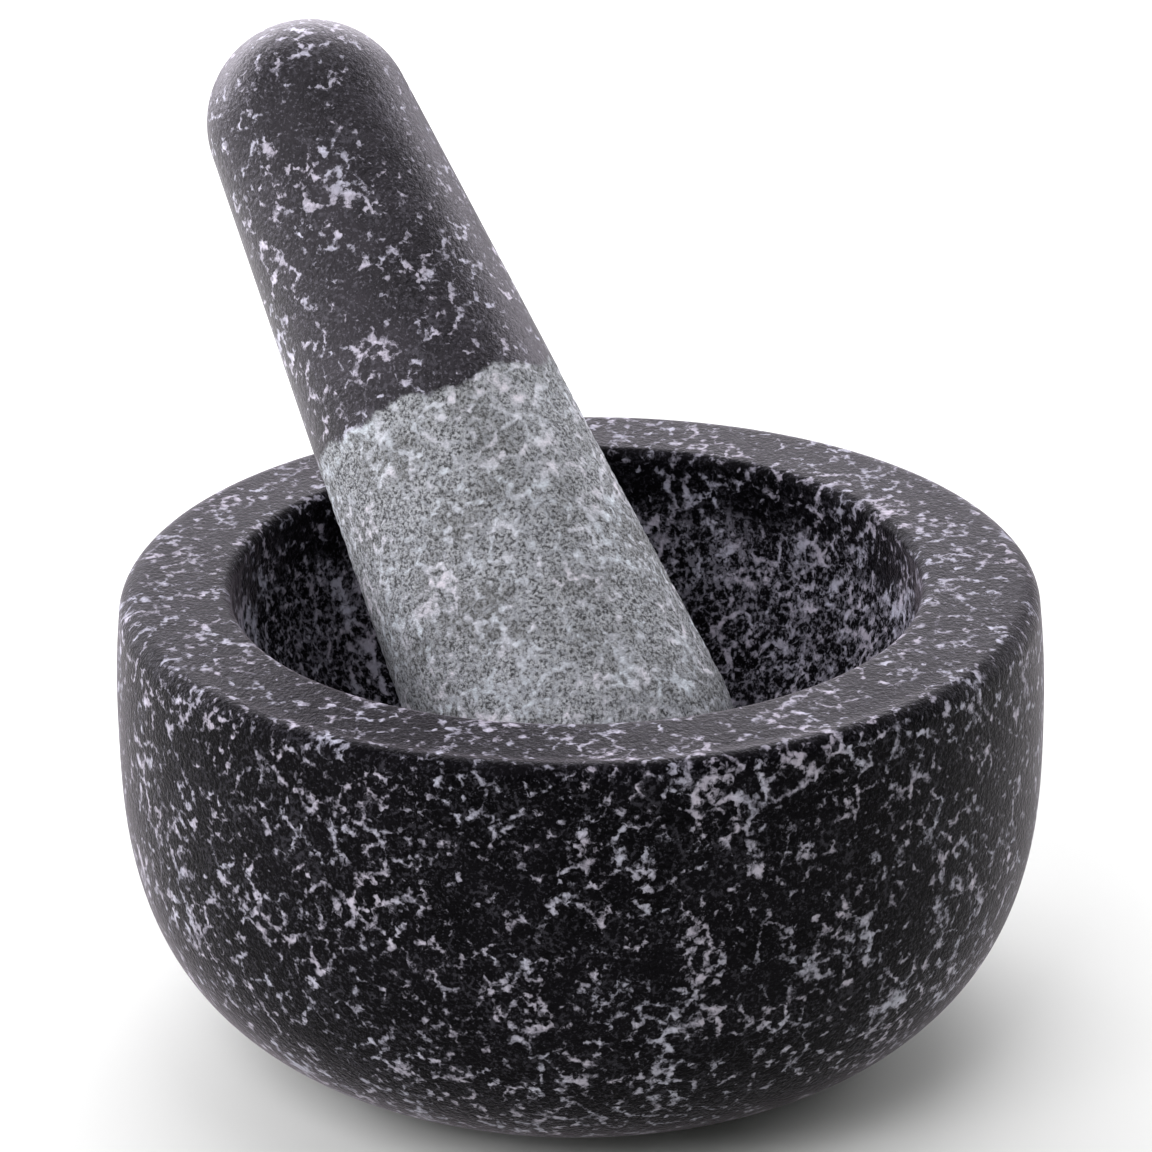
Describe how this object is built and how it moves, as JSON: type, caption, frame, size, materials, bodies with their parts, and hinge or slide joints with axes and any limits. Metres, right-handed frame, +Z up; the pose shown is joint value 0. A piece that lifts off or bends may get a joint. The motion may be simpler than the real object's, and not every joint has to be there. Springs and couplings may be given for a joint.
{
  "type": "mortar and pestle",
  "caption": "Thick-walled round stone mortar with a flat rim and a hemispherical hollow, and a tapered, round-ended stone pestle that leans in it.",
  "frame": {"origin": "centre of the mortar's flat underside, on the surface it stands on", "axes": "+Z up, along the mortar's axis; +X to the right and -Y to the front; the pestle leans to the back left"},
  "size_m": [0.14, 0.1451, 0.1408],
  "materials": {
    "honed_granite": "honed near-black granite with pale grey flecks, rough-ground in the hollow",
    "pestle_granite": "the same granite, honed charcoal on the grip half and pecked to a pale rough grey on the grinding half"
  },
  "bodies": {
    "mortar": {"mortar": "honed_granite"},
    "pestle": {"pestle": "pestle_granite"}
  },
  "joints": [
    {"name": "pestle_lift", "type": "slide", "parent": "mortar", "child": "pestle", "axis": [0, 0, 1], "range_m": [0, 0.12]}
  ]
}
